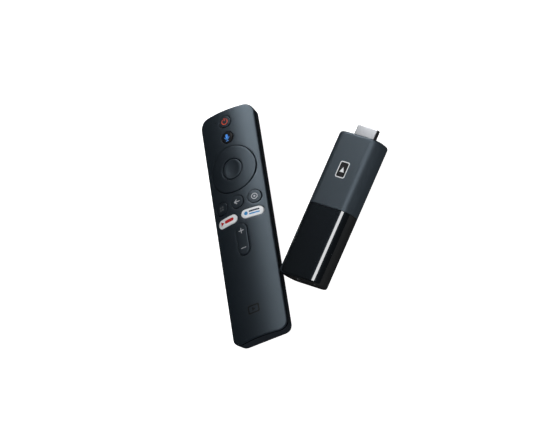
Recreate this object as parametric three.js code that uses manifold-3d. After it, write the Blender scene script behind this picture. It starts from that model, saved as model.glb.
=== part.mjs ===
// Streaming media player set: an HDMI streaming stick and its handheld remote, lying side by side.
// Millimetres, +Z up, the set rests on z = 0. +Y is the remote's long axis and points to its top end.
import * as THREE from "three";
import { mergeVertices } from "three/addons/utils/BufferGeometryUtils.js";
import Module from "manifold-3d";
const wasm = await Module();
wasm.setup();

// ---------------- driving dimensions ----------------
const REMOTE_X = -36.5; // remote centre in the set's frame
const STICK_X = 17.45, STICK_Y = -11.1, STICK_YAW = -36.6; // stick centre and turn about Z (degrees)
// remote
const LEN = 144, WID = 34.5, THICK = 15.4, CROWN_R = 44;
const R_TOP = 5.4, R_BOT = 5.6; // plan corner radii
const COVER_T = 1.5, RIM_T = 0.9, SEAM = 0.3, WALL = 1.15;
const RING_V = 33.7, RING_R = 14.35, OK_R = 6.15;
const ROW_V = 12.55, ROW_U = 10.65, ROW_R = 3.9;
const PILL_V = 3.3, PILL_U = 7.95, PILL_W = 13.0, PILL_H = 5.2;
const POWER_V = 64.55, ASSIST_V = 54.2, KEY_R = 3.6;
const VOL_V = -11.4, VOL_W = 7.0, VOL_L = 19.5;
const HOLE_GAP = 0.3;
// stick
const S_LEN = 86.2, S_WID = 30.0, S_THICK = 15.2, S_EDGE = 6.4, S_CORNER = 3.5, S_WALL = 1.5;
const SPLIT = -0.5; // along the stick, from its centre to the joint line between its two sleeves
const PLUG_W = 13.9, PLUG_H = 4.45, PLUG_OUT = 6.8, PLUG_Z = 7.2;

// ---------------- solids from three.js geometry ----------------
function solid(g) {
  const n = g.index ? g.toNonIndexed() : g;
  const p = new THREE.BufferGeometry().setAttribute("position", n.getAttribute("position"));
  const m = mergeVertices(p, 1e-4);
  return new wasm.Manifold(new wasm.Mesh({ numProp: 3, vertProperties: m.attributes.position.array, triVerts: new Uint32Array(m.index.array) }));
}
function geometryOf(s) {
  const m = s.getMesh(), n = m.numProp, v = new Float32Array(m.numVert * 3);
  for (let i = 0; i < m.numVert; i++) v.set(m.vertProperties.subarray(i * n, i * n + 3), i * 3);
  const g = new THREE.BufferGeometry().setAttribute("position", new THREE.BufferAttribute(v, 3)).setIndex(new THREE.BufferAttribute(m.triVerts, 1));
  const flat = g.toNonIndexed();
  flat.computeVertexNormals();
  return flat;
}
const box = (x0, x1, y0, y1, z0, z1) => solid(new THREE.BoxGeometry(x1 - x0, y1 - y0, z1 - z0).translate((x0 + x1) / 2, (y0 + y1) / 2, (z0 + z1) / 2));
const cyl = (x, y, z0, z1, r, seg = 32, r2 = r) => solid(new THREE.CylinderGeometry(r2, r, z1 - z0, seg).rotateX(Math.PI / 2).translate(x, y, (z0 + z1) / 2));
const cylY = (x, z, y0, y1, r, seg = 24) => solid(new THREE.CylinderGeometry(r, r, y1 - y0, seg).translate(x, (y0 + y1) / 2, z));
const cylX = (y, z, x0, x1, r, seg = 16) => solid(new THREE.CylinderGeometry(r, r, x1 - x0, seg).rotateZ(Math.PI / 2).translate((x0 + x1) / 2, y, z));
const shapeOf = (pts) => new THREE.Shape(pts.map(([a, b]) => new THREE.Vector2(a, b)));
const prismZ = (pts, z0, z1) => solid(new THREE.ExtrudeGeometry(shapeOf(pts), { depth: z1 - z0, bevelEnabled: false }).translate(0, 0, z0));
const prismY = (pts, y0, y1) => solid(new THREE.ExtrudeGeometry(shapeOf(pts), { depth: y1 - y0, bevelEnabled: false }).rotateX(Math.PI / 2).translate(0, y1, 0));
const TO_X = new THREE.Matrix4().makeBasis(new THREE.Vector3(0, 1, 0), new THREE.Vector3(0, 0, 1), new THREE.Vector3(1, 0, 0));
const prismX = (pts, x0, x1) => solid(new THREE.ExtrudeGeometry(shapeOf(pts), { depth: x1 - x0, bevelEnabled: false }).applyMatrix4(TO_X).translate(x0, 0, 0));
// rounded rectangle outline, corner radii [right-top, left-top, left-bottom, right-bottom], k segments a corner
function rrect(cx, cy, w, h, radii, k = 6) {
  const r = Array.isArray(radii) ? radii : [radii, radii, radii, radii];
  const c = [[cx + w / 2, cy + h / 2, 1, 1], [cx - w / 2, cy + h / 2, -1, 1], [cx - w / 2, cy - h / 2, -1, -1], [cx + w / 2, cy - h / 2, 1, -1]];
  const out = [];
  c.forEach(([x, y, sx, sy], i) => {
    for (let j = 0; j <= k; j++) {
      const a = ((i * 90 + (j * 90) / k) * Math.PI) / 180;
      out.push([x - sx * r[i] + r[i] * Math.cos(a), y - sy * r[i] + r[i] * Math.sin(a)]);
    }
  });
  return out;
}
const pill = (cx, cy, w, h, k = 8) => rrect(cx, cy, w, h, Math.min(w, h) / 2 - 0.001, k);

const nodes = {};
function put(name, s, colour, roughness, metalness = 0) { nodes[name] = { s, colour, roughness, metalness }; }

// ================= remote =================
const crown = (x, drop = 0) => THICK - drop - (CROWN_R - Math.sqrt(CROWN_R * CROWN_R - x * x));
function underCrown(drop, hw, floor, n = 18) { // cross-section below the crowned face
  const p = [];
  for (let i = 0; i <= n; i++) { const x = hw - (2 * hw * i) / n; p.push([x, crown(x, drop)]); }
  return [[-hw, floor], [hw, floor], ...p];
}
const outline = (inset, z0 = -1, z1 = 20) => prismZ(rrect(0, 0, WID - 2 * inset, LEN - 2 * inset,
  [R_TOP - inset, R_TOP - inset, R_BOT - inset, R_BOT - inset], 5), z0, z1);
// underside: straight wall to z 5.8, then in towards a flat base
const under = [[12.6, 0], [13.8, 1.0], [15.1, 2.9], [16.55, 5.6]];
const underIn = [[12.7, 1.3], [13.2, 1.9], [14.2, 3.6], [15.6, 6.4]];
const sect = (half, drop, n = 18, hw = WID / 2) => {
  const top = [];
  for (let i = 0; i <= n; i++) { const x = hw - (2 * hw * i) / n; top.push([x, crown(x, drop)]); }
  return [...half, ...top, ...half.map(([x, z]) => [-x, z]).reverse()];
};
const ends = (half) => [...half, [half[half.length - 1][0], 18], ...[...half, [half[half.length - 1][0], 18]].map(([y, z]) => [-y, z]).reverse()];
const endsOut = ends([[67.0, 0], [68.4, 1.2], [69.8, 3.2], [71.3, 5.6], [72, 11.9]]);
const endsIn = ends([[67.9, 1.3], [69.1, 3.6], [70.1, 6.2], [70.4, 12]]);
const bodyOut = outline(0).intersect(prismY(sect(under, 0), -73, 73)).intersect(prismX(endsOut, -20, 20));
const cavity = outline(WALL).intersect(prismY(sect(underIn, -2, 18, 15.6), -73, 73)).intersect(prismX(endsIn, -20, 20));

const circ = (x, y, r, seg = 32) => cyl(x, y, -2, 30, r, seg);
const keyHoles = [
  circ(0, POWER_V, KEY_R + HOLE_GAP, 28), circ(0, ASSIST_V, KEY_R + HOLE_GAP, 28), circ(0, RING_V, RING_R + HOLE_GAP, 48),
  circ(-ROW_U, ROW_V, ROW_R + HOLE_GAP, 28), circ(0, ROW_V, ROW_R + HOLE_GAP, 28), circ(ROW_U, ROW_V, ROW_R + HOLE_GAP, 28),
  prismZ(pill(-PILL_U, PILL_V, PILL_W + 2 * HOLE_GAP, PILL_H + 2 * HOLE_GAP), -2, 30),
  prismZ(pill(PILL_U, PILL_V, PILL_W + 2 * HOLE_GAP, PILL_H + 2 * HOLE_GAP), -2, 30),
  prismZ(pill(0, VOL_V, VOL_W + 2 * HOLE_GAP, VOL_L + 2 * HOLE_GAP), -2, 30),
];
const MIC = [-6.5, 66.2];
// cover: crowned plate with a thinner rim, sitting in the shell like a lid, and four clip tabs
const band = (drop, inset) => outline(inset).intersect(prismY(sect([[WID / 2, -1]], 0), -73, 73))
  .subtract(prismY([[-30, -5], [30, -5], ...underCrown(drop, 17.6, 0).slice(2).map(([x, z]) => [x, z])].concat([[-30, crown(17.6, drop)]]), -74, 74));
let cover = band(RIM_T, 0).add(band(COVER_T, 2.1));
for (const sx of [-1, 1]) for (const y of [-48, 48]) cover = cover.add(box(sx * 14.92 - 0.38, sx * 14.92 + 0.38, y - 3, y + 3, 7.6, crown(14.92, 0.8)));
for (const h of keyHoles) cover = cover.subtract(h);
cover = cover.subtract(cyl(MIC[0], MIC[1], 8, 20, 0.45, 12));
put("remote_top_cover", cover, 0x3a3f45, 0.62);

// shell: tray under the cover, open where the battery door slides in from the lower end
const DOOR_HW = 11.2, DOOR_Y1 = -23.0, DOOR_Z = 1.3;
let shell = bodyOut.subtract(prismY([[-30, crown(17.6, RIM_T + SEAM)], ...underCrown(RIM_T + SEAM, 17.6, 0).slice(2).reverse(), [30, crown(17.6, RIM_T + SEAM)], [30, 30], [-30, 30]], -74, 74)).subtract(cavity);
shell = shell.subtract(box(-DOOR_HW - 0.3, DOOR_HW + 0.3, -80, DOOR_Y1 + 0.3, -1, DOOR_Z + 0.4));
for (const sx of [-1, 1]) shell = shell.subtract(box(Math.min(sx * 10.1, sx * 12.8), Math.max(sx * 10.1, sx * 12.8), -80, -60, 1.3, 2.7));
shell = shell.add(box(-16.6, 16.6, -19.6, -18.8, 0.6, 6.4).intersect(bodyOut)); // wall between batteries and circuit board
for (const sx of [-1, 1]) for (const y of [62, 20, -14]) shell = shell.add(box(sx * 12 - 1, sx * 12 + 1, y - 1, y + 1, 1.0, 6.5));
shell = shell.subtract(box(-4.3, 4.3, 69, 74, 5.9, 12.1)); // opening for the infrared window
put("remote_bottom_shell", shell, 0x1e2023, 0.6);

const doorRail = (sx) => box(Math.min(sx * 10.4, sx * 12.5), Math.max(sx * 10.4, sx * 12.5), -72, -26, 1.6, 2.4)
  .add(box(Math.min(sx * 10.4, sx * DOOR_HW), Math.max(sx * 10.4, sx * DOOR_HW), -72, -26, 0.8, 2.4));
let door = box(-DOOR_HW, DOOR_HW, -75, DOOR_Y1, 0, DOOR_Z).add(doorRail(-1)).add(doorRail(1)).intersect(bodyOut);
for (let i = 0; i < 5; i++) door = door.subtract(box(-5, 5, -60 + i * 2, -59.2 + i * 2, -1, 0.4)); // thumb grip grooves
put("battery_door", door, 0x1e2023, 0.6);

const PCB_Z = [6.8, 7.8];
put("remote_pcb", prismZ(rrect(0, 25.1, 28.6, 86.6, 2, 3), PCB_Z[0], PCB_Z[1]), 0x1c5a34, 0.45);
const micRelief = box(MIC[0] - 1.9, MIC[0] + 1.9, MIC[1] - 2.3, MIC[1] + 3, 7, 12);
put("dome_sheet", prismZ(rrect(0, 24.6, 28.2, 84.8, 2, 3), 8.1, 8.3).subtract(micRelief), 0xc9ccc8, 0.35);
const KEY_Z = 10.9, ROW_KEY_Z = 9.95;
let membrane = prismZ(rrect(0, 24.6, 28.2, 84.8, 2, 3), 8.6, 9.0);
const plunger = (x, y, z1, r = 1.6) => cyl(x, y, 8.8, z1, r, 12);
for (const [x, y, z] of [[0, POWER_V, 10.1], [0, ASSIST_V, 10.1], [0, ROW_V, 10.1], [-ROW_U, ROW_V, 9.25], [ROW_U, ROW_V, 9.25],
  [-PILL_U, PILL_V, 9.25], [PILL_U, PILL_V, 9.25], [0, VOL_V + 5.4, 10.0], [0, VOL_V - 4.6, 10.0],
  [12, RING_V, 10.1], [-12, RING_V, 10.1], [0, RING_V + 12, 10.1], [0, RING_V - 12, 10.1]]) membrane = membrane.add(plunger(x, y, z));
put("keypad_membrane", membrane.subtract(micRelief), 0x2b2d30, 0.85);
put("bluetooth_chip", box(-6, 0, 36, 42, 5.6, 6.6), 0x17181a, 0.5);
put("crystal", box(4, 7.2, 38, 40.5, 5.7, 6.6), 0xb9bcc0, 0.3, 1);
put("microphone", box(MIC[0] - 1.5, MIC[0] + 1.5, MIC[1] - 1.9, MIC[1] + 1.9, 7.95, 9.0), 0xc2b27a, 0.35, 1);
const irLed = box(-1.5, 1.5, 67.3, 68.3, 8.0, 9.8).add(solid(new THREE.SphereGeometry(0.8, 16, 10).translate(0, 68.3, 8.9)));
put("ir_led", irLed, 0x2a2433, 0.2);
const irBlock = prismX([[69.3, 6.3], [71.25, 6.3], [71.85, 11.7], [69.3, 11.7]], -3.9, 3.9);
put("ir_window", irBlock.subtract(cavity.intersect(box(-3.9, 3.9, 60, 69.6, 0, 20))), 0x140d12, 0.08);

// keys: crowned tops standing a little above the face, flanges under the cover
function key(name, plan, raise, z0, flange, colour = 0x26292d, cutters = []) {
  let s = plan(0).intersect(prismY(underCrown(-raise, 17, z0), -73, 73));
  if (flange) s = s.add(plan(0.5).intersect(box(-20, 20, -80, 80, z0, flange)));
  for (const c of cutters) s = s.subtract(c);
  put(name, s, colour, 0.55);
}
const round = (x, y, r, seg = 28) => (e) => circ(x, y, r + e, seg);
key("power_key", round(0, POWER_V, KEY_R), 0.35, KEY_Z, 11.5);
key("assistant_key", round(0, ASSIST_V, KEY_R), 0.35, KEY_Z, 11.5, 0x101113);
key("apps_key", round(-ROW_U, ROW_V, ROW_R), 0.35, ROW_KEY_Z, 10.45);
key("back_key", round(0, ROW_V, ROW_R), 0.35, KEY_Z, 11.5);
key("home_key", round(ROW_U, ROW_V, ROW_R), 0.35, ROW_KEY_Z, 10.45);
key("app_key_left", (e) => prismZ(pill(-PILL_U, PILL_V, PILL_W + 2 * e * 0.6, PILL_H + 2 * e), -2, 30), 0.5, ROW_KEY_Z, 10.45, 0xe9eaea);
key("app_key_right", (e) => prismZ(pill(PILL_U, PILL_V, PILL_W + 2 * e * 0.6, PILL_H + 2 * e), -2, 30), 0.5, ROW_KEY_Z, 10.45, 0xe9eaea);
const rockPlan = (e) => prismZ(pill(0, VOL_V, VOL_W + 2 * e, VOL_L + 2 * e, 8), -2, 30);
let rocker = rockPlan(0).intersect(prismY(underCrown(-0.8, 17, KEY_Z), -73, 73)).add(cylX(VOL_V, 11.9, -5.2, 5.2, 0.8, 12));
rocker = rocker.subtract(solid(new THREE.CylinderGeometry(60, 60, 12, 96).rotateZ(Math.PI / 2).translate(0, VOL_V, THICK + 0.5 + 60)));
put("volume_rocker", rocker, 0x26292d, 0.55);
let ring = circ(0, RING_V, RING_R, 48).intersect(prismY(underCrown(-0.45, 17, KEY_Z), -73, 73)).subtract(circ(0, RING_V, OK_R + 0.3, 32));
put("dpad_ring", ring, 0x26292d, 0.5);
put("dpad_pivot", cyl(0, RING_V, 9.9, 10.5, 9.0, 32).subtract(circ(0, RING_V, 6.8, 32)), 0x55585c, 0.4, 1);
key("ok_key", round(0, RING_V, OK_R, 32), 0.25, 10.3, 0, 0x26292d, [solid(new THREE.SphereGeometry(30, 64, 40).translate(0, RING_V, THICK + 0.25 + 30 - 0.55))]);

// batteries and contacts: the two cells lie head to tail
const BZ = 7.15, BR = 5.25, BX = 5.6;
const cell = (x, yFlat, dir) => cylY(x, BZ, Math.min(yFlat, yFlat + dir * 43.5), Math.max(yFlat, yFlat + dir * 43.5), BR, 28)
  .add(cylY(x, BZ, Math.min(yFlat + dir * 43, yFlat + dir * 44.5), Math.max(yFlat + dir * 43, yFlat + dir * 44.5), 1.9, 16));
put("battery_left", cell(-BX, -23.7, -1), 0x8e8f3a, 0.35, 0.3); // positive end down
put("battery_right", cell(BX, -65.1, 1), 0x8e8f3a, 0.35, 0.3); // positive end up
const spring = (x, yWide, yNarrow) => {
  const h = Math.abs(yNarrow - yWide), s = yNarrow > yWide ? 1 : -1;
  const outer = [[0, 0], [3.3, 0], [2.0, h], [0, h]].map(([r, y]) => new THREE.Vector2(r, y));
  const inner = [[0, -0.1], [2.75, -0.1], [1.45, h + 0.1], [0, h + 0.1]].map(([r, y]) => new THREE.Vector2(r, y));
  const g = (p) => { const l = new THREE.LatheGeometry(p, 20); if (s < 0) l.rotateX(Math.PI); return solid(l.translate(x, yWide, BZ)); };
  return g(outer).subtract(g(inner));
};
put("battery_spring_left", spring(-BX, -20.6, -23.4), 0xc9ccd0, 0.25, 1);
put("battery_spring_right", spring(BX, -68.2, -65.4), 0xc9ccd0, 0.25, 1);
put("battery_bridge_plate", box(-10.4, 10.4, -68.9, -68.5, 3.9, 10.6), 0xc9ccd0, 0.3, 1);
put("battery_contact_left", box(-10.4, -1.2, -20.3, -19.9, 3.4, 9.9), 0xc9ccd0, 0.3, 1);
put("battery_contact_right", box(1.2, 10.4, -20.3, -19.9, 3.4, 9.9), 0xc9ccd0, 0.3, 1);

// ================= stick (own frame: +Y to the HDMI end, centre at 0,0) =================
const stick = {};
const sput = (name, s, colour, roughness, metalness = 0) => { put(name, s, colour, roughness, metalness); stick[name] = true; };
const H = S_LEN / 2;
function housing(inset) {
  const w = S_WID - 2 * inset, t = S_THICK - 2 * inset, e = Math.max(S_EDGE - inset, 0.5), n = Math.max(1.2 - inset, 0.3), l = S_LEN - 2 * inset;
  return prismY(rrect(0, S_THICK / 2, w, t, e, 6), -l / 2, l / 2)
    .intersect(prismZ(rrect(0, 0, w, l, Math.max(S_CORNER - inset, 0.7), 4), -1, 20))
    .intersect(prismX(rrect(0, S_THICK / 2, l, t, n, 3), -20, 20));
}
const hOut = housing(0), hIn = housing(S_WALL);
let matte = hOut.intersect(box(-20, 20, SPLIT + 0.15, 60, -1, 20)).subtract(hIn);
matte = matte.subtract(prismY(rrect(0, PLUG_Z, PLUG_W + 0.8, PLUG_H + 0.8, 0.9, 3), 38, 50));
sput("matte_sleeve", matte, 0x3d4248, 0.66);
let gloss = hOut.intersect(box(-20, 20, -60, SPLIT - 0.15, -1, 20)).subtract(hIn);
gloss = gloss.subtract(prismY(rrect(0, 8.95, 8.6, 3.6, 0.9, 3), -50, -38));
gloss = gloss.subtract(cylY(9.2, 8.95, -50, -38, 0.85, 12)); // status light hole
sput("glossy_sleeve", gloss, 0x0d0e10, 0.12);
// HDMI plug
const plugOuter = [[-PLUG_W / 2, PLUG_H / 2], [PLUG_W / 2, PLUG_H / 2], [PLUG_W / 2, -0.6], [PLUG_W / 2 - 1.6, -PLUG_H / 2], [-PLUG_W / 2 + 1.6, -PLUG_H / 2], [-PLUG_W / 2, -0.6]].map(([x, z]) => [x, z + PLUG_Z]);
const plugInner = [[-6.6, 1.87], [6.6, 1.87], [6.6, -0.42], [5.15, -1.87], [-5.15, -1.87], [-6.6, -0.42]].map(([x, z]) => [x, z + PLUG_Z]);
let plug = prismY(plugOuter, 35.8, H + PLUG_OUT).subtract(prismY(plugInner, 37.0, H + PLUG_OUT + 1));
plug = plug.subtract(box(-8, 8, 35, H + 0.25, PLUG_Z + PLUG_H / 2 - 0.18, PLUG_Z + PLUG_H)); // set in a little where the sleeve covers it
sput("hdmi_shell", plug, 0xc8cacc, 0.28, 1);
sput("hdmi_tongue", box(-5.5, 5.5, 37.3, 44.5, PLUG_Z - 0.95, PLUG_Z + 1.4), 0x1b1c1e, 0.5);
let contacts = box(-5.0, 5.0, 44.8, 45.3, PLUG_Z - 0.7, PLUG_Z + 1.3);
for (let i = 0; i < 10; i++) contacts = contacts.add(box(-4.7 + i - 0.14, -4.7 + i + 0.14, 45.0, 49.0, PLUG_Z + 1.05, PLUG_Z + 1.3));
sput("hdmi_contacts", contacts, 0xd9b25a, 0.25, 1);
// chassis tray, circuit board, chips, shield, heat spreader
let frame = box(-9.9, 9.9, -40.6, 34.0, 1.85, 2.75);
for (const sx of [-1, 1]) frame = frame.add(box(Math.min(sx * 9.2, sx * 10.6), Math.max(sx * 9.2, sx * 10.6), -40.0, 33.4, 2.6, 6.1)).add(box(Math.min(sx * 9.0, sx * 9.9), Math.max(sx * 9.0, sx * 9.9), -40.0, 33.4, 2.2, 3.0));
sput("inner_frame", frame, 0x2a2c2f, 0.6);
sput("stick_pcb", prismZ(rrect(0, -2.7, 22.0, 75.6, 1.0, 2), 6.4, 7.3), 0x15452c, 0.45);
sput("soc_chip", box(-6, 6, -12, 0, 7.45, 8.55), 0x17181a, 0.4);
sput("memory_chip", box(-5, 5, 4, 14, 7.45, 8.45), 0x17181a, 0.4);
sput("flash_chip", box(-5.75, 5.75, 18, 31, 7.45, 8.45), 0x17181a, 0.4);
sput("wifi_chip", box(-4, 4, -27, -19, 7.45, 8.35), 0x17181a, 0.4);
sput("shield_can", box(-10.2, 10.2, -30, 33.6, 7.45, 9.3).subtract(box(-9.9, 9.9, -29.7, 33.3, 7, 9.0)), 0xb7babd, 0.32, 1);
sput("thermal_pad", box(-7, 7, -14, 16, 9.45, 10.3), 0x7f9aa8, 0.8);
sput("heat_spreader", box(-10.6, 10.6, -30, 33.6, 10.45, 11.25), 0xa9acb0, 0.35, 1);
// micro-USB socket in the end face
const usbOut = rrect(0, 8.95, 7.7, 2.9, 0.7, 2), usbIn = rrect(0, 8.95, 7.1, 2.3, 0.5, 2);
sput("usb_shell", prismY(usbOut, -42.9, -37.2).subtract(prismY(usbIn, -44, -37.7)), 0xc8cacc, 0.28, 1);
sput("usb_tongue", box(-1.9, 1.9, -41.8, -38.0, 8.95 - 0.1, 8.95 + 0.55), 0x1b1c1e, 0.5);
sput("wifi_antenna", box(-10.4, -4.8, -40.2, -39.7, 7.6, 11.8).add(box(-10.4, -9.9, -40.0, -32.0, 7.6, 11.8)), 0xd0a95a, 0.3, 1);
sput("status_led", box(8.4, 10.0, -37.4, -36.2, 7.45, 8.2), 0xf2efe2, 0.4);
sput("light_pipe", cylY(9.2, 8.95, -42.9, -39.4, 0.6, 12), 0xe8ecef, 0.1);

// ================= assembly =================
const root = new THREE.Group();
root.name = "streaming_media_player";
const remoteGroup = new THREE.Group();
remoteGroup.name = "remote";
remoteGroup.position.set(REMOTE_X, 0, 0);
const stickGroup = new THREE.Group();
stickGroup.name = "stick";
stickGroup.position.set(STICK_X, STICK_Y, 0);
stickGroup.rotation.z = (STICK_YAW * Math.PI) / 180;
root.add(stickGroup, remoteGroup);
for (const [name, n] of Object.entries(nodes)) {
  const mesh = new THREE.Mesh(geometryOf(n.s), new THREE.MeshStandardMaterial({ color: n.colour, roughness: n.roughness, metalness: n.metalness }));
  mesh.name = name;
  (stick[name] ? stickGroup : remoteGroup).add(mesh);
}
export default root;
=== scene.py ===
"""Looks for the streaming media player set: an HDMI stick lying beside its handheld remote."""
import bpy, bmesh, math
from mathutils import Vector, Matrix
from mathutils.geometry import delaunay_2d_cdt


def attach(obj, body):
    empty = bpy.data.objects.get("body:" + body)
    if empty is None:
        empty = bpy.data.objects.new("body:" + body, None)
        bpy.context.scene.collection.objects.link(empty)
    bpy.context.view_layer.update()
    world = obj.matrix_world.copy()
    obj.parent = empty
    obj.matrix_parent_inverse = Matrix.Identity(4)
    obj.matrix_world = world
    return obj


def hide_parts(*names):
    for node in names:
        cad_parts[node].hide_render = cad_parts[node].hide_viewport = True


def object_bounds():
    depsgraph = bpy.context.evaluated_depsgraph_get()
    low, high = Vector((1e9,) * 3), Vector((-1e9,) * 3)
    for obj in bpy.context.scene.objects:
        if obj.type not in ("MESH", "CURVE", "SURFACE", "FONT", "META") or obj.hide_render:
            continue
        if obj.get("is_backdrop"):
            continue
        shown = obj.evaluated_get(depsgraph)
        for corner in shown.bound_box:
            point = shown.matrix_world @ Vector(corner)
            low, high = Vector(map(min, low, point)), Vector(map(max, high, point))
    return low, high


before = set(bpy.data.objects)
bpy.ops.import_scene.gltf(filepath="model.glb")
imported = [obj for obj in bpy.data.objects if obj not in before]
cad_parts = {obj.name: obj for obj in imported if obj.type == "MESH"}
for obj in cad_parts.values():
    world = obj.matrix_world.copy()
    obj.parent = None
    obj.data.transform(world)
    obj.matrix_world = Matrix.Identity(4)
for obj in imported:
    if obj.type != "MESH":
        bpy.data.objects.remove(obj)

cad_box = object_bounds()
MM = 0.001
scene = bpy.context.scene

# ------------------------------------------------------------------ sizes (mm), as in the CAD
RX = -36.5
SX, SY, YAW = 17.45, -11.1, math.radians(-36.6)
LEN, WID, THICK, CROWN_R = 144.0, 34.5, 15.4, 44.0
R_TOP, R_BOT = 5.4, 5.6
RING_V, RING_R, OK_R = 33.7, 14.35, 6.15
ROW_V, ROW_U, ROW_R = 12.55, 10.65, 3.9
PILL_V, PILL_U, PILL_W, PILL_H = 3.3, 7.95, 13.0, 5.2
POWER_V, ASSIST_V, KEY_R = 64.55, 54.2, 3.6
VOL_V, VOL_W, VOL_L = -11.4, 7.0, 19.5
GAP = 0.3
S_LEN, S_WID, S_THICK, S_EDGE, S_WALL, SPLIT = 86.2, 30.0, 15.2, 6.4, 1.5, -0.5
PLUG_W, PLUG_H, PLUG_OUT, PLUG_Z = 13.9, 4.45, 6.8, 7.2


def crown(x, drop=0.0):
    return THICK - drop - (CROWN_R - math.sqrt(max(CROWN_R ** 2 - x * x, 0.0)))


# ------------------------------------------------------------------ materials
def material(name, build):
    m = bpy.data.materials.new(name)
    m.use_nodes = True
    nt = m.node_tree
    bsdf = nt.nodes["Principled BSDF"]
    build(nt, bsdf)
    return m


def noise(nt, scale, detail=3.0, rough=0.55, coord=None):
    tc = nt.nodes.new("ShaderNodeTexCoord")
    mp = nt.nodes.new("ShaderNodeMapping")
    n = nt.nodes.new("ShaderNodeTexNoise")
    n.inputs["Scale"].default_value = scale
    n.inputs["Detail"].default_value = detail
    n.inputs["Roughness"].default_value = rough
    nt.links.new(tc.outputs["Object"], mp.inputs["Vector"])
    nt.links.new(mp.outputs["Vector"], n.inputs["Vector"])
    return n


def ramp(nt, src, c0, c1, p0=0.3, p1=0.7):
    r = nt.nodes.new("ShaderNodeValToRGB")
    r.color_ramp.elements[0].position = p0
    r.color_ramp.elements[1].position = p1
    r.color_ramp.elements[0].color = (*c0, 1) if len(c0) == 3 else c0
    r.color_ramp.elements[1].color = (*c1, 1) if len(c1) == 3 else c1
    nt.links.new(src, r.inputs["Fac"])
    return r


def maprange(nt, src, a, b):
    r = nt.nodes.new("ShaderNodeMapRange")
    r.inputs["To Min"].default_value = a
    r.inputs["To Max"].default_value = b
    nt.links.new(src, r.inputs["Value"])
    return r


def plastic(name, col, rough, spread=0.10, grain=5200.0, bump=0.035, spec=0.5, coat=0.0, dist=0.00003, vary=0.05, tint=None, ior=1.5, coat_ior=1.5, coat_rough=0.05):
    """Moulded plastic: slow tone drift, fine spark-eroded grain in the bump and in the roughness."""
    def build(nt, b):
        slow = noise(nt, 38.0, 2.0)
        lo = [c * (1 - spread) for c in col]
        hi = [c * (1 + spread) for c in col]
        r = ramp(nt, slow.outputs["Fac"], lo, hi)
        nt.links.new(r.outputs["Color"], b.inputs["Base Color"])
        fine = noise(nt, grain, 2.0, 0.6)
        mr = maprange(nt, fine.outputs["Fac"], rough - vary, rough + vary)
        nt.links.new(mr.outputs["Result"], b.inputs["Roughness"])
        bp = nt.nodes.new("ShaderNodeBump")
        bp.inputs["Strength"].default_value = bump
        bp.inputs["Distance"].default_value = dist
        nt.links.new(fine.outputs["Fac"], bp.inputs["Height"])
        nt.links.new(bp.outputs["Normal"], b.inputs["Normal"])
        b.inputs["Specular IOR Level"].default_value = spec
        b.inputs["Coat Weight"].default_value = coat
        b.inputs["IOR"].default_value = ior
        if tint:
            b.inputs["Specular Tint"].default_value = (*tint, 1)
        b.inputs["Coat Roughness"].default_value = coat_rough
        b.inputs["Coat IOR"].default_value = coat_ior
    return material(name, build)


def metal(name, col, rough, brushed=True):
    def build(nt, b):
        n = noise(nt, 900.0, 4.0)
        if brushed:
            n.inputs["Distortion"].default_value = 0.0
            mp = [x for x in nt.nodes if x.type == "MAPPING"][-1]
            mp.inputs["Scale"].default_value = (1.0, 0.06, 1.0)
        r = ramp(nt, n.outputs["Fac"], [c * 0.96 for c in col], [min(c * 1.03, 1) for c in col])
        nt.links.new(r.outputs["Color"], b.inputs["Base Color"])
        mr = maprange(nt, n.outputs["Fac"], rough * 0.93, rough * 1.07)
        nt.links.new(mr.outputs["Result"], b.inputs["Roughness"])
        b.inputs["Metallic"].default_value = 1.0
        bp = nt.nodes.new("ShaderNodeBump")
        bp.inputs["Strength"].default_value = 0.05
        bp.inputs["Distance"].default_value = 0.00002
        nt.links.new(n.outputs["Fac"], bp.inputs["Height"])
        nt.links.new(bp.outputs["Normal"], b.inputs["Normal"])
    return material(name, build)


def ink(name, col, rough=0.45, glow=0.0):
    """Screen-printed ink: slightly uneven tone."""
    def build(nt, b):
        n = noise(nt, 1500.0, 3.0)
        r = ramp(nt, n.outputs["Fac"], [c * 0.93 for c in col], [min(c * 1.04, 1) for c in col])
        nt.links.new(r.outputs["Color"], b.inputs["Base Color"])
        mr = maprange(nt, n.outputs["Fac"], rough - 0.05, rough + 0.05)
        nt.links.new(mr.outputs["Result"], b.inputs["Roughness"])
        if glow:
            nt.links.new(r.outputs["Color"], b.inputs["Emission Color"])
            b.inputs["Emission Strength"].default_value = glow
    return material(name, build)


TINT = (0.70, 0.86, 1.0)
M_FACE = plastic("slate_matte_plastic", (0.0085, 0.0122, 0.0168), 0.45, spec=1.0, tint=TINT, vary=0.03)
M_SIDE = plastic("black_matte_plastic", (0.0112, 0.0142, 0.0182), 0.5, spec=0.4, tint=TINT)
M_KEY = plastic("key_black_plastic", (0.0068, 0.0100, 0.0140), 0.46, spec=0.85, tint=TINT, vary=0.03)
M_KEY_DARK = plastic("voice_key_black", (0.0035, 0.0038, 0.0045), 0.42, spec=0.35)
M_WHITE = plastic("white_key_plastic", (0.80, 0.82, 0.84), 0.42, spread=0.015)
M_STICK = plastic("stick_slate_plastic", (0.024, 0.031, 0.038), 0.43, spec=1.0, tint=TINT, vary=0.03, ior=1.60)
M_GLOSS = plastic("stick_gloss_black", (0.0020, 0.0026, 0.0034), 0.36, bump=0.0, spec=0.65, vary=0.02, grain=900.0, tint=(0.60, 0.80, 1.0), coat=1.0, coat_ior=4.0, coat_rough=0.06)
M_STEEL = metal("nickel_plate", (0.70, 0.72, 0.76), 0.38)
M_PLUG = metal("plug_plate", (0.40, 0.41, 0.43), 0.38)
# painted shade: a near-black material standing in for the shadow inside the seam gap under the cover's edge
M_SEAM_PAINTED_SHADE = plastic("seam_shadow_black", (0.0010, 0.0011, 0.0013), 0.8, spec=0.1)
M_GOLD = metal("gold_plate", (0.82, 0.58, 0.22), 0.28)
M_ALU = metal("aluminium_plate", (0.62, 0.63, 0.65), 0.36)
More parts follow.
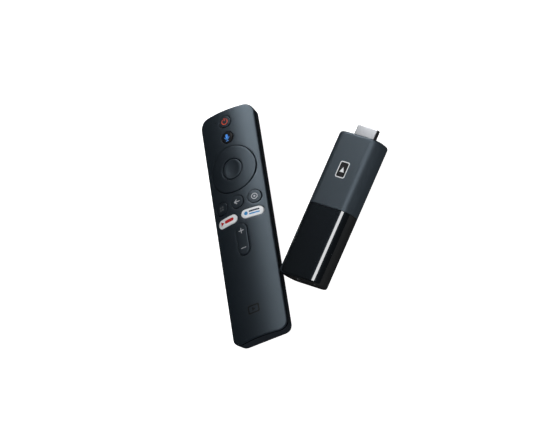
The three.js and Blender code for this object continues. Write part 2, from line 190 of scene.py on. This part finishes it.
M_CHIP = plastic("chip_package", (0.012, 0.012, 0.013), 0.5)
M_PCB = plastic("solder_mask", (0.010, 0.085, 0.035), 0.35, grain=1800.0)
M_RUBBER = plastic("silicone_pad", (0.030, 0.030, 0.034), 0.8)
M_PAD = plastic("thermal_pad", (0.24, 0.34, 0.42), 0.85)
M_INNER = plastic("inner_plastic", (0.022, 0.023, 0.025), 0.6)
M_CELL = plastic("cell_jacket", (0.012, 0.013, 0.015), 0.45, grain=600.0)
M_WINDOW = plastic("infrared_window", (0.012, 0.003, 0.005), 0.07, bump=0.005, vary=0.02)
M_LENS = plastic("dark_lens", (0.03, 0.02, 0.05), 0.1, bump=0.0, vary=0.02)
M_PIPE = plastic("light_guide", (0.75, 0.78, 0.8), 0.12, vary=0.03)
I_RED = ink("ink_orange_red", (0.85, 0.085, 0.030))
I_WHITE = ink("ink_white", (0.86, 0.88, 0.90))
I_DIM = ink("ink_grey", (0.10, 0.11, 0.12))
I_BLUE = ink("ink_blue", (0.085, 0.34, 0.98))
I_KEYS = ink("ink_key_grey", (0.46, 0.48, 0.51))
I_BLACK = ink("ink_black", (0.002, 0.002, 0.0025), 0.4)
I_PILLRED = ink("ink_red", (0.55, 0.02, 0.02))
I_NAVY = ink("ink_navy", (0.015, 0.03, 0.06))
I_SKY = ink("ink_sky_blue", (0.02, 0.24, 0.55))
I_TONE = ink("ink_tone_on_tone", (0.0025, 0.003, 0.0035), 0.5)


# ------------------------------------------------------------------ outlines: rounded rectangles with per-corner radii
class RR:
    """Rounded rectangle: centre, size and radii [right-top, left-top, left-bottom, right-bottom]."""

    def __init__(self, cx, cy, w, h, radii, k=10):
        self.cx, self.cy, self.w, self.h, self.k = cx, cy, w, h, k
        self.r = list(radii) if isinstance(radii, (list, tuple)) else [radii] * 4

    def pts(self, inset=0.0):
        out = []
        w, h = self.w / 2 - inset, self.h / 2 - inset
        for i, (sx, sy) in enumerate(((1, 1), (-1, 1), (-1, -1), (1, -1))):
            r = max(self.r[i] - inset, 0.02)
            for j in range(self.k + 1):
                a = math.radians(i * 90 + j * 90 / self.k)
                out.append((self.cx + sx * (w - r) + r * math.cos(a), self.cy + sy * (h - r) + r * math.sin(a)))
        return out

    def sd(self, x, y):
        dx, dy = x - self.cx, y - self.cy
        i = (0 if dx >= 0 else 1) if dy >= 0 else (3 if dx >= 0 else 2)
        r = self.r[i]
        qx, qy = abs(dx) - self.w / 2 + r, abs(dy) - self.h / 2 + r
        return min(max(qx, qy), 0.0) + math.hypot(max(qx, 0.0), max(qy, 0.0)) - r


def circle(cx, cy, r, k=16):
    return RR(cx, cy, 2 * r, 2 * r, r, k)


def pillrr(cx, cy, w, h, k=12):
    return RR(cx, cy, w, h, min(w, h) / 2 - 1e-3, k)


def densify(pts, step):
    out = []
    n = len(pts)
    for i in range(n):
        a, b = pts[i], pts[(i + 1) % n]
        m = max(1, int(math.ceil(math.hypot(b[0] - a[0], b[1] - a[1]) / step)))
        for j in range(m):
            t = j / m
            out.append((a[0] + (b[0] - a[0]) * t, a[1] + (b[1] - a[1]) * t))
    return out


class Poly:
    """Any closed outline given by points, no insets."""

    def __init__(self, points):
        self.p = points

    def pts(self, inset=0.0):
        return list(self.p)

    def sd(self, x, y):
        inside, d, n = False, 1e9, len(self.p)
        for i in range(n):
            (x0, y0), (x1, y1) = self.p[i], self.p[(i + 1) % n]
            if (y0 > y) != (y1 > y) and x < (x1 - x0) * (y - y0) / (y1 - y0) + x0:
                inside = not inside
            ex, ey = x1 - x0, y1 - y0
            t = max(0.0, min(1.0, ((x - x0) * ex + (y - y0) * ey) / max(ex * ex + ey * ey, 1e-12)))
            d = min(d, math.hypot(x - x0 - ex * t, y - y0 - ey * t))
        return -d if inside else d


# ------------------------------------------------------------------ mesh building
def new_object(name, bm, mat, place, angle=34.0):
    me = bpy.data.meshes.new(name)
    bm.normal_update()
    bm.to_mesh(me)
    bm.free()
    me.transform(Matrix.Scale(MM, 4))
    me.transform(place)
    for p in me.polygons:
        p.use_smooth = True
    me.set_sharp_from_angle(angle=math.radians(angle))
    me.update()
    o = bpy.data.objects.new(name, me)
    scene.collection.objects.link(o)
    if mat:
        me.materials.append(mat)
    return o


REMOTE = Matrix.Translation((RX * MM, 0, 0))
STICK = Matrix.Translation((SX * MM, SY * MM, 0)) @ Matrix.Rotation(YAW, 4, "Z")


def triangulate(outer, holes, er, hr, grid, steps, edge_step):
    """Delaunay triangles of a plate with holes; loops at fillet insets along every edge. Returns verts, tris, outer loop ids, hole loop ids."""
    verts, edges, loops = [], [], []

    def add_loop(p):
        base = len(verts)
        verts.extend(p)
        edges.extend((base + i, base + (i + 1) % len(p)) for i in range(len(p)))
        return list(range(base, base + len(p)))

    def insets(r):
        if r <= 0:
            return [0.0]
        return [r * (1 - math.cos(math.radians(90 * j / steps))) for j in range(steps + 1)]

    o_ids = None
    for i, d in enumerate(insets(er)):
        ids = add_loop(densify(outer.pts(d), edge_step))
        if i == 0:
            o_ids = ids
    h_ids = []
    for h in holes:
        for i, d in enumerate(insets(hr)):
            ids = add_loop(densify(h.pts(-d), edge_step))
            if i == 0:
                h_ids.append(ids)
    xs = [p[0] for p in verts]
    ys = [p[1] for p in verts]
    x0, x1, y0, y1 = min(xs), max(xs), min(ys), max(ys)
    nx, ny = max(2, int((x1 - x0) / grid)), max(2, int((y1 - y0) / grid))
    for i in range(1, nx):
        for j in range(1, ny):
            x, y = x0 + (x1 - x0) * i / nx, y0 + (y1 - y0) * j / ny
            if -outer.sd(x, y) < er + 0.35 * grid:
                continue
            if any(h.sd(x, y) < hr + 0.35 * grid for h in holes):
                continue
            verts.append((x, y))
    vo, eo, fo, ov, oe, of_ = delaunay_2d_cdt([Vector(v) for v in verts], edges, [], 0, 1e-5, True)
    back = {}
    for i, src in enumerate(ov):
        for s in src:
            back[s] = i
    tris = []
    for f in fo:
        cx = sum(vo[i].x for i in f) / len(f)
        cy = sum(vo[i].y for i in f) / len(f)
        if outer.sd(cx, cy) > -1e-6 or any(h.sd(cx, cy) < 1e-6 for h in holes):
            continue
        f = list(f)
        a, b, c = vo[f[0]], vo[f[1]], vo[f[2]]
        if (b.x - a.x) * (c.y - a.y) - (b.y - a.y) * (c.x - a.x) < 0:
            f.reverse()
        tris.append(f)
    return [(v.x, v.y) for v in vo], tris, [back[i] for i in o_ids], [[back[i] for i in ids] for ids in h_ids]


def fillet(d, r):
    if r <= 0 or d >= r:
        return 0.0
    return r - math.sqrt(max(r * r - (r - max(d, 0.0)) ** 2, 0.0))


def plate(name, outer, holes, top, bottom, er, hr, mat, place, grid=1.3, steps=3, edge_step=1.5, angle=34.0, at=None):
    """Closed plate between top(x, y) and bottom(x, y), with rounded upper edges round the outside and each hole."""
    v2, tris, o_ids, h_ids = triangulate(outer, holes, er, hr, grid, steps, edge_step)
    if at is None:
        at = lambda x, y, z: (x, y, z)
    bm = bmesh.new()
    used = sorted({i for t in tris for i in t})
    tv, bv = {}, {}
    for i in used:
        x, y = v2[i]
        d = fillet(-outer.sd(x, y), er)
        for h in holes:
            d = max(d, fillet(h.sd(x, y), hr))
        zt = top(x, y) - d
        tv[i] = bm.verts.new(at(x, y, zt))
        bv[i] = bm.verts.new(at(x, y, min(bottom(x, y), zt - 0.02)))
    for t in tris:
        bm.faces.new([tv[i] for i in t])
        bm.faces.new([bv[i] for i in reversed(t)])
    for loop, flip in [(o_ids, False)] + [(h, True) for h in h_ids]:
        n = len(loop)
        for i in range(n):
            a, b = loop[i], loop[(i + 1) % n]
            if a == b or a not in tv or b not in tv:
                continue
            q = [bv[a], bv[b], tv[b], tv[a]]
            if flip:
                q.reverse()
            bm.faces.new(q)
    bmesh.ops.recalc_face_normals(bm, faces=bm.faces)
    return new_object(name, bm, mat, place, angle)


def loft(name, loops, mat, place, cap_first=True, cap_last=True, closed=False, angle=34.0, flip=False):
    """Skin through loops of equal point count."""
    bm = bmesh.new()
    rows = [[bm.verts.new(p) for p in l] for l in loops]
    n = len(rows[0])
    pairs = list(zip(rows, rows[1:])) + ([(rows[-1], rows[0])] if closed else [])
    for a, b in pairs:
        for i in range(n):
            bm.faces.new((a[i], a[(i + 1) % n], b[(i + 1) % n], b[i]))
    if not closed:
        if cap_first:
            bm.faces.new(list(reversed(rows[0])))
        if cap_last:
            bm.faces.new(rows[-1])
    bmesh.ops.recalc_face_normals(bm, faces=bm.faces)
    return new_object(name, bm, mat, place, angle)


def done(o, body, nodes=()):
    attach(o, body)
    if nodes:
        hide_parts(*nodes)
    return o


def cut(o, tools):
    for t in tools:
        m = o.modifiers.new("cut", "BOOLEAN")
        m.operation = "DIFFERENCE"
        m.solver = "EXACT"
        m.object = t
    dg = bpy.context.evaluated_depsgraph_get()
    me = bpy.data.meshes.new_from_object(o.evaluated_get(dg))
    for m in list(o.modifiers):
        o.modifiers.remove(m)
    o.data = me
    me.set_sharp_from_angle(angle=math.radians(34))
    for t in tools:
        bpy.data.objects.remove(t)
    return o


def block(x0, x1, y0, y1, z0, z1, place):
    bm = bmesh.new()
    bmesh.ops.create_cube(bm, size=1.0)
    for v in bm.verts:
        v.co = Vector(((x0 + x1) / 2 + v.co.x * (x1 - x0), (y0 + y1) / 2 + v.co.y * (y1 - y0), (z0 + z1) / 2 + v.co.z * (z1 - z0)))
    return new_object("cutter", bm, None, place)


# ------------------------------------------------------------------ remote: cover
face = RR(0, 0, WID, LEN, [R_TOP, R_TOP, R_BOT, R_BOT], 12)
ring_o = circle(0, RING_V, RING_R, 24)
keys = {
    "power_key": (circle(0, POWER_V, KEY_R), 0.35, 10.9, M_KEY),
    "assistant_key": (circle(0, ASSIST_V, KEY_R), 0.35, 10.9, M_KEY_DARK),
    "apps_key": (circle(-ROW_U, ROW_V, ROW_R), 0.35, 9.95, M_KEY),
    "back_key": (circle(0, ROW_V, ROW_R), 0.35, 10.9, M_KEY),
    "home_key": (circle(ROW_U, ROW_V, ROW_R), 0.35, 9.95, M_KEY),
    "app_key_left": (pillrr(-PILL_U, PILL_V, PILL_W, PILL_H), 0.5, 9.95, M_WHITE),
    "app_key_right": (pillrr(PILL_U, PILL_V, PILL_W, PILL_H), 0.5, 9.95, M_WHITE),
}
vol_o = pillrr(0, VOL_V, VOL_W, VOL_L)


def grown(o, g):
    return RR(o.cx, o.cy, o.w + 2 * g, o.h + 2 * g, [r + g for r in o.r], o.k)


holes = [grown(o, GAP) for o, *_ in keys.values()] + [grown(ring_o, GAP), grown(vol_o, GAP), circle(-6.5, 66.2, 0.45, 4)]


def cover_bottom(x, y):
    d = -face.sd(x, y)
    t = min(max((d - 0.9) / 0.5, 0.0), 1.0)
    return crown(x, 0.9 + 0.6 * t)


cover = plate("remote_cover_skin", face, holes, lambda x, y: crown(x), cover_bottom, 0.45, 0.12, M_FACE, REMOTE, grid=1.4, steps=4)
done(cover, "remote", ["remote_top_cover"])

# keys
for n, (o, raise_, z0, mat) in keys.items():
    body = n.replace("_key", "") + "_button"
    k = plate(n + "_cap", o, [], lambda x, y, r=raise_: crown(x) + r, lambda x, y, z=z0: z, 0.28, 0, mat, REMOTE, grid=0.8, steps=4, edge_step=0.8)
    done(k, body, [n])


def rocker_top(x, y):
    d = (y - VOL_V) / (VOL_L / 2)
    return crown(x) + 0.5 + 0.28 * d * d


done(plate("volume_rocker_cap", vol_o, [], rocker_top, lambda x, y: 10.9, 0.45, 0, M_KEY, REMOTE, grid=0.8, steps=4, edge_step=0.8), "volume", ["volume_rocker"])
done(plate("dpad_ring_cap", ring_o, [circle(0, RING_V, OK_R + 0.3, 24)], lambda x, y: crown(x) + 0.4, lambda x, y: 10.9, 0.4, 0.35, M_KEY, REMOTE, grid=1.0, steps=4, edge_step=0.9), "dpad", ["dpad_ring"])


def ok_top(x, y):
    r2 = x * x + (y - RING_V) ** 2
    return THICK + 0.25 - 0.55 + r2 / 60.0 - 0.10 * (x * x / 75.0) * 0


done(plate("ok_key_cap", circle(0, RING_V, OK_R, 24), [], lambda x, y: min(ok_top(x, y), crown(x) + 0.25), lambda x, y: 10.3, 0.3, 0, M_KEY, REMOTE, grid=0.7, steps=4, edge_step=0.7), "ok_button", ["ok_key"])

# shell: wall below the seam, turned in under the body, hollow, open for the battery door and the infrared window
shell_o = RR(0, 0, WID, LEN, [R_TOP, R_TOP, R_BOT, R_BOT], 12)


def sloop(inset, z):
    """Outline at an inset, straight runs split so that every loop has the same point count; z is a number or a function of x."""
    p = shell_o.pts(inset)
    out = []
    n, k = len(p), shell_o.k + 1
    for i in range(n):
        a, b = p[i], p[(i + 1) % n]
        out.append(a)
        if i % k == k - 1:
            m = 14 if (i // k) % 2 == 0 else 24
            for j in range(1, m):
                t = j / m
                out.append((a[0] + (b[0] - a[0]) * t, a[1] + (b[1] - a[1]) * t))
    return [(x, y, z(x) if callable(z) else z) for x, y in out]


def lean(f):
    """Between the rim (f 0) and the foot of the wall (f 1)."""
    return lambda x: crown(x, 2.05) * (1 - f) + 5.9 * f


shell_loops = [sloop(4.75, 0.0), sloop(4.1, 0.3), sloop(3.5, 1.0), sloop(2.9, 1.8), sloop(2.1, 2.9), sloop(1.05, 4.6), sloop(0.74, 5.3), sloop(0.66, 5.9),
               sloop(0.36, lean(0.5)), sloop(0.07, lean(0.0)), sloop(0.1, lambda x: crown(x, 1.93)), sloop(0.2, lambda x: crown(x, 1.9)),
               sloop(1.6, lambda x: crown(x, 1.9)), sloop(1.65, 6.3), sloop(3.1, 3.6), sloop(4.1, 1.9), sloop(4.5, 1.3)]
shell = loft("remote_shell_skin", shell_loops, M_SIDE, REMOTE)
cut(shell, [block(-11.5, 11.5, -80, -22.7, -1, 1.7, REMOTE), block(-12.8, -10.1, -80, -60, 1.25, 2.7, REMOTE), block(10.1, 12.8, -80, -60, 1.25, 2.7, REMOTE),
            block(-4.2, 4.2, 69, 74, 6.0, 12.0, REMOTE)])
# the upward-facing rim faces high in the seam gap get the near-black painted shade, drawn as the dark line under the
# cover's edge
shell.data.materials.append(M_SEAM_PAINTED_SHADE)
for p in shell.data.polygons:
    if p.normal.z > 0.5 and p.center.z > 8 * MM:
        p.material_index = 1
done(shell, "remote", ["remote_bottom_shell"])


# ------------------------------------------------------------------ stick: two sleeves and the plug
def section_loop(o, inset, y):
    return [(x, y, z) for x, z in o.pts(inset)]


def sleeve(name, s, y_open, y_end, mat, cutters, left, right, e=0.9):
    o = RR(0, S_THICK / 2, S_WID, S_THICK, S_EDGE, 12)
    loops = []
    for d in (0.0, 0.05, 0.16, 0.32, 0.55, 0.9, 1.3, 1.75, 2.5, 3.5):
        il, ir, high = fillet(d, left), fillet(d, right), fillet(d, e)
        loops.append(section_loop(RR((il - ir) / 2, S_THICK / 2, S_WID - il - ir, S_THICK - 2 * high, S_EDGE - high, 12), 0, y_end - s * d))
    loops += [section_loop(o, 0, y_end - s * 4.0), section_loop(o, 0, y_open + s * 1.0), section_loop(o, 0, y_open + s * 0.2), section_loop(o, 0, y_open + s * 0.04), section_loop(o, 0.03, y_open),
              section_loop(o, 1.5, y_open), section_loop(o, 1.5, y_end - s * 5.0), section_loop(o, 4.0, y_end - s * 1.6)]
    ob = loft(name, loops, mat, STICK)
    return cut(ob, cutters)


def prism_y(name, o, y0, y1):
    return loft(name, [[(x, y0, z) for x, z in o.pts()], [(x, y1, z) for x, z in o.pts()]], None, STICK)


H = S_LEN / 2
done(sleeve("stick_matte_skin", 1, SPLIT + 0.14, H, M_STICK, [prism_y("c1", RR(0, PLUG_Z, PLUG_W + 0.6, PLUG_H + 0.6, 0.9, 6), H - 4, H + 4)], 1.9, 1.7),
     "stick", ["matte_sleeve"])
done(sleeve("stick_gloss_skin", -1, SPLIT - 0.14, -H, M_GLOSS, [prism_y("c2", RR(0, 8.95, 8.6, 3.6, 0.9, 6), -H - 4, -H + 4), prism_y("c3", circle(9.2, 8.95, 0.75, 8), -H - 4, -H + 4)], 3.1, 1.4),
     "stick", ["glossy_sleeve"])


def rounded(points, r, k=5):
    out = []
    n = len(points)
    for i in range(n):
        p0, p1, p2 = Vector(points[i - 1]), Vector(points[i]), Vector(points[(i + 1) % n])
        u, v = (p0 - p1).normalized(), (p2 - p1).normalized()
        ang = u.angle(v)
        t = min(r / math.tan(ang / 2), (p0 - p1).length * 0.45, (p2 - p1).length * 0.45)
        for j in range(k + 1):
            f = j / k
            a, b = p1 + u * t * (1 - f), p1 + v * t * f
            out.append(tuple(a * (1 - f) + b * f))
    return out


def plug_loop(d, y, r):
    w, h = PLUG_W / 2 - d, PLUG_H / 2 - d
    pts = [(-w, h), (-w, -0.6 + d * 0.4), (-w + 1.6 - 0.25 * d, -h), (w - 1.6 + 0.25 * d, -h), (w, -0.6 + d * 0.4), (w, h)]
    return [(x, y, z + PLUG_Z) for x, z in rounded(pts, r)]


PE = H + PLUG_OUT
plug = loft("hdmi_plug_skin", [plug_loop(0.0, 36.0, 0.55), plug_loop(0.0, PE - 0.5, 0.55), plug_loop(0.04, PE - 0.2, 0.52), plug_loop(0.14, PE - 0.03, 0.45), plug_loop(0.22, PE, 0.4),
                               plug_loop(0.32, PE - 0.08, 0.35), plug_loop(0.35, PE - 0.3, 0.35), plug_loop(0.35, 37.2, 0.35)], M_PLUG, STICK)
done(plug, "stick", ["hdmi_shell"])


# ------------------------------------------------------------------ printed legends: thin ink on the surface they sit on
def decal(name, outline, top, mat, body, holes=(), grid=0.5, place=REMOTE, proud=0.02):
    o = plate(name, outline, list(holes), lambda x, y: top(x, y) + proud, lambda x, y: top(x, y) - 0.03, 0, 0, mat, place, grid=grid, steps=1, edge_step=0.3)
    return done(o, body)


def arc_poly(cx, cy, r, w, a0, a1, n=28):
    a = [math.radians(a0 + (a1 - a0) * i / n) for i in range(n + 1)]
    return Poly([(cx + (r + w / 2) * math.cos(t), cy + (r + w / 2) * math.sin(t)) for t in a] + [(cx + (r - w / 2) * math.cos(t), cy + (r - w / 2) * math.sin(t)) for t in reversed(a)])


def up(r):
    return lambda x, y: crown(x) + r


# power: broken ring and bar
decal("power_ring_ink", arc_poly(0, POWER_V, 1.75, 0.42, 125, 415), up(0.35), I_RED, "power_button")
decal("power_bar_ink", RR(0, POWER_V + 1.35, 0.42, 1.9, 0.15, 4), up(0.35), I_RED, "power_button")
# voice: a microphone
decal("voice_capsule_ink", pillrr(0, ASSIST_V + 0.75, 1.5, 2.6, 8), up(0.35), I_BLUE, "assistant_button")
decal("voice_cradle_ink", arc_poly(0, ASSIST_V + 0.55, 1.5, 0.36, 190, 350), up(0.35), I_BLUE, "assistant_button")
decal("voice_stem_ink", RR(0, ASSIST_V - 1.6, 0.36, 1.1, 0.05, 3), up(0.35), I_BLUE, "assistant_button")
decal("voice_foot_ink", RR(0, ASSIST_V - 2.25, 1.7, 0.36, 0.1, 3), up(0.35), I_BLUE, "assistant_button")
# apps: four squares
for i, (dx, dy) in enumerate(((-0.8, -0.8), (0.8, -0.8), (-0.8, 0.8), (0.8, 0.8))):
    decal("apps_square_%d_ink" % i, RR(-ROW_U + dx, ROW_V + dy, 1.15, 1.15, 0.2, 3), up(0.35), I_DIM, "apps_button")
# back: arrow
decal("back_arrow_ink", Poly([(-1.9, ROW_V), (-0.2, ROW_V + 1.55), (0.15, ROW_V + 1.2), (-0.85, ROW_V + 0.25), (1.8, ROW_V + 0.25), (1.8, ROW_V - 0.25), (-0.85, ROW_V - 0.25), (0.15, ROW_V - 1.2), (-0.2, ROW_V - 1.55)]),
      up(0.35), I_KEYS, "back_button")
# home: ring and dot
decal("home_ring_ink", circle(ROW_U, ROW_V, 1.85, 9), up(0.35), I_KEYS, "home_button", [circle(ROW_U, ROW_V, 1.42, 9)])
decal("home_dot_ink", circle(ROW_U, ROW_V, 0.55, 6), up(0.35), I_KEYS, "home_button")
# shortcut keys: a red pair of marks, and a dark bar over a blue one
decal("short_left_play_ink", Poly([(-PILL_U - 4.5, PILL_V + 1.3), (-PILL_U - 4.5, PILL_V - 1.3), (-PILL_U - 2.2, PILL_V)]), up(0.5), I_PILLRED, "app_left_button")
decal("short_left_bar_ink", pillrr(-PILL_U + 1.3, PILL_V, 6.2, 1.9, 6), up(0.5), I_PILLRED, "app_left_button")
decal("short_right_dot_ink", circle(PILL_U - 3.5, PILL_V, 1.1, 6), up(0.5), I_SKY, "app_right_button")
decal("short_right_bar_ink", pillrr(PILL_U + 1.4, PILL_V + 0.7, 6.2, 1.0, 6), up(0.5), I_NAVY, "app_right_button")
decal("short_right_line_ink", pillrr(PILL_U + 1.4, PILL_V - 0.95, 6.2, 0.8, 6), up(0.5), I_SKY, "app_right_button")
# volume: plus and minus
decal("plus_ink", Poly([(-1.6, -5.83), (-1.6, -6.27), (-0.22, -6.27), (-0.22, -7.65), (0.22, -7.65), (0.22, -6.27), (1.6, -6.27), (1.6, -5.83), (0.22, -5.83), (0.22, -4.45), (-0.22, -4.45), (-0.22, -5.83)]),
      rocker_top, I_KEYS, "volume")
decal("minus_ink", RR(0, -16.85, 3.2, 0.44, 0.1, 3), rocker_top, I_KEYS, "volume")
# a plain screen-and-triangle mark, tone on tone on the remote and white on the stick
mark = RR(0, -54.9, 7.2, 5.2, 1.0, 5)
decal("remote_mark_ink", mark, up(0), I_TONE, "remote", [RR(0, -54.9, 5.6, 3.6, 0.6, 5)])
decal("remote_mark_play_ink", Poly([(-0.9, -53.7), (-0.9, -56.1), (1.3, -54.9)]), up(0), I_TONE, "remote")
LOGO_Y = 21.6
flat_top = lambda x, y: S_THICK
decal("stick_mark_ink", RR(0, LOGO_Y, 6.4, 9.6, 1.1, 5), flat_top, I_WHITE, "stick", [RR(0, LOGO_Y, 5.3, 8.5, 0.7, 5)], place=STICK)
decal("stick_mark_screen_ink", RR(0, LOGO_Y, 5.3, 8.5, 0.7, 5), flat_top, I_BLACK, "stick", place=STICK, proud=0.008)
decal("stick_mark_play_ink", Poly([(-1.5, LOGO_Y - 1.5), (1.5, LOGO_Y - 1.5), (0, LOGO_Y + 1.6)]), flat_top, I_WHITE, "stick", place=STICK)

# ------------------------------------------------------------------ CAD nodes that stay
keep = {
    "battery_door": M_SIDE, "hdmi_tongue": M_INNER, "hdmi_contacts": M_GOLD, "inner_frame": M_INNER, "stick_pcb": M_PCB, "soc_chip": M_CHIP, "memory_chip": M_CHIP,
    "flash_chip": M_CHIP, "wifi_chip": M_CHIP, "shield_can": M_STEEL, "thermal_pad": M_PAD, "heat_spreader": M_ALU, "usb_shell": M_STEEL, "usb_tongue": M_INNER,
    "wifi_antenna": M_GOLD, "status_led": M_PIPE, "light_pipe": M_PIPE, "remote_pcb": M_PCB, "dome_sheet": M_ALU, "keypad_membrane": M_RUBBER, "bluetooth_chip": M_CHIP,
    "crystal": M_STEEL, "microphone": M_GOLD, "ir_led": M_LENS, "ir_window": M_WINDOW, "battery_left": M_CELL, "battery_right": M_CELL, "battery_spring_left": M_STEEL,
    "battery_spring_right": M_STEEL, "battery_bridge_plate": M_STEEL, "battery_contact_left": M_STEEL, "battery_contact_right": M_STEEL, "dpad_pivot": M_INNER,
}
for n, m in keep.items():
    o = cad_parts[n]
    o.data.materials.clear()
    o.data.materials.append(m)

# ------------------------------------------------------------------ floor, light, camera
bm = bmesh.new()
bmesh.ops.create_grid(bm, x_segments=2, y_segments=2, size=40.0)
fm = bpy.data.meshes.new("floor")
bm.to_mesh(fm)
bm.free()
floor = bpy.data.objects.new("floor", fm)
floor.location = (0, 0, -0.00002)
scene.collection.objects.link(floor)


def floor_mat(nt, b):
    n = noise(nt, 2.0, 2.0)
    r = ramp(nt, n.outputs["Fac"], (0.86, 0.86, 0.86), (0.88, 0.88, 0.88))
    nt.links.new(r.outputs["Color"], b.inputs["Base Color"])
    b.inputs["Roughness"].default_value = 0.9
    b.inputs["Specular IOR Level"].default_value = 0.1
    out = nt.nodes["Material Output"]
    em = nt.nodes.new("ShaderNodeEmission")
    em.inputs["Color"].default_value = (1, 1, 1, 1)
    em.inputs["Strength"].default_value = 0.96
    add = nt.nodes.new("ShaderNodeAddShader")
    lp = nt.nodes.new("ShaderNodeLightPath")
    mix = nt.nodes.new("ShaderNodeMixShader")
    df = nt.nodes.new("ShaderNodeBsdfDiffuse")
    df.inputs["Color"].default_value = (0.05, 0.05, 0.05, 1)
    nt.links.new(em.outputs[0], add.inputs[0])
    nt.links.new(b.outputs[0], add.inputs[1])
    nt.links.new(lp.outputs["Is Camera Ray"], mix.inputs[0])
    nt.links.new(df.outputs[0], mix.inputs[1])
    nt.links.new(add.outputs[0], mix.inputs[2])
    nt.links.new(mix.outputs[0], out.inputs["Surface"])


fm.materials.append(material("pale_floor", floor_mat))
floor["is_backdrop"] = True

world = bpy.data.worlds.new("studio")
scene.world = world
world.use_nodes = True
wn = world.node_tree
bg = wn.nodes["Background"]
lp = wn.nodes.new("ShaderNodeLightPath")
bg2 = wn.nodes.new("ShaderNodeBackground")
mx = wn.nodes.new("ShaderNodeMixShader")
bg.inputs["Color"].default_value = (0.75, 0.88, 1, 1)
bg.inputs["Strength"].default_value = 0.010
bg2.inputs["Color"].default_value = (1, 1, 1, 1)
bg2.inputs["Strength"].default_value = 1.0
wn.links.new(lp.outputs["Is Camera Ray"], mx.inputs[0])
wn.links.new(bg.outputs[0], mx.inputs[1])
wn.links.new(bg2.outputs[0], mx.inputs[2])
wn.links.new(mx.outputs[0], wn.nodes["World Output"].inputs["Surface"])


def area(name, way, dist, size, power, target=(0, 0, 0), size_y=None, spread=180.0, along=None, color=(1, 1, 1)):
    """A softbox in the direction `way` from the target, at a distance; `along` turns its long side."""
    l = bpy.data.lights.new(name, "AREA")
    l.energy = power
    l.size = size
    l.color = color
    l.spread = math.radians(spread)
    if size_y:
        l.shape = "RECTANGLE"
        l.size_y = size_y
    o = bpy.data.objects.new(name, l)
    w = Vector(way).normalized()
    o.location = Vector(target) + w * dist
    if along:
        y = (Vector(along) - w * w.dot(Vector(along))).normalized()
        x = y.cross(w)
        o.rotation_euler = Matrix((x, y, w)).transposed().to_euler()
    else:
        o.rotation_euler = (-w).to_track_quat("-Z", "Y").to_euler()
    o.visible_camera = False
    scene.collection.objects.link(o)
    return o


AXIS = (-math.sin(YAW), math.cos(YAW), 0)
REMOTE_MID, STICK_MID = (RX * MM, 0, 0.0154), (SX * MM, SY * MM, 0.0152)
area("back_softbox", (0.15, 0.75, 0.65), 0.8, 0.22, 0.85, REMOTE_MID)
area("top_softbox", (0.31, 0.425, 0.85), 0.8, 0.22, 0.68, REMOTE_MID)
area("stick_softbox", (-0.1, 0.75, 0.65), 0.35, 0.12, 0.42, (0.045, 0.02, 0.0152))
STRIP_MID = tuple(m - 0.10 * a for m, a in zip(STICK_MID, AXIS))
area("gloss_strip", (0.265, -0.01, 0.964), 0.6, 0.28, 0.72, STRIP_MID, size_y=0.45, along=AXIS)
area("right_fill", (1.0, -0.25, 0.14), 1.0, 0.6, 4.0).visible_glossy = False
area("front_fill", (0.15, -1.0, 0.10), 1.2, 0.8, 17.0).visible_glossy = False

cam_data = bpy.data.cameras.new("camera")
cam = bpy.data.objects.new("camera", cam_data)
scene.collection.objects.link(cam)
rv = Vector((-0.45116, 0.48381, -0.26410))
R = Matrix.Rotation(rv.length, 3, rv.normalized()) @ Matrix(((1, 0, 0), (0, -1, 0), (0, 0, -1)))
T = Vector((-13.808, 4.724, 2035.009))
loc = -(R.transposed() @ T) + Vector((RX, 0, THICK))
rot = (Matrix(((1, 0, 0), (0, -1, 0), (0, 0, -1))) @ R).transposed()
m4 = rot.to_4x4()
m4.translation = loc * MM
cam.matrix_world = m4
cam_data.sensor_width = 36.0
cam_data.lens = 3664.54 * 36.0 / 533.0
cam_data.clip_start = 0.05
cam_data.clip_end = 200.0
PAN_X, PAN_Y = 1.5, 0.0  # picture pixels: the view is panned so that both pieces sit as in the photograph
cam_data.shift_x = PAN_X / 533.0
cam_data.shift_y = PAN_Y / 533.0
scene.camera = cam

scene.view_settings.view_transform = "Standard"
scene.view_settings.look = "None"
scene.view_settings.exposure = 0.0
scene.view_settings.gamma = 1.0

vis_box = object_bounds()


def plain(b):
    if isinstance(b, (int, float)):
        return float(b)
    return [plain(x) for x in b]


{"cad": plain(cad_box), "visual": plain(vis_box)}
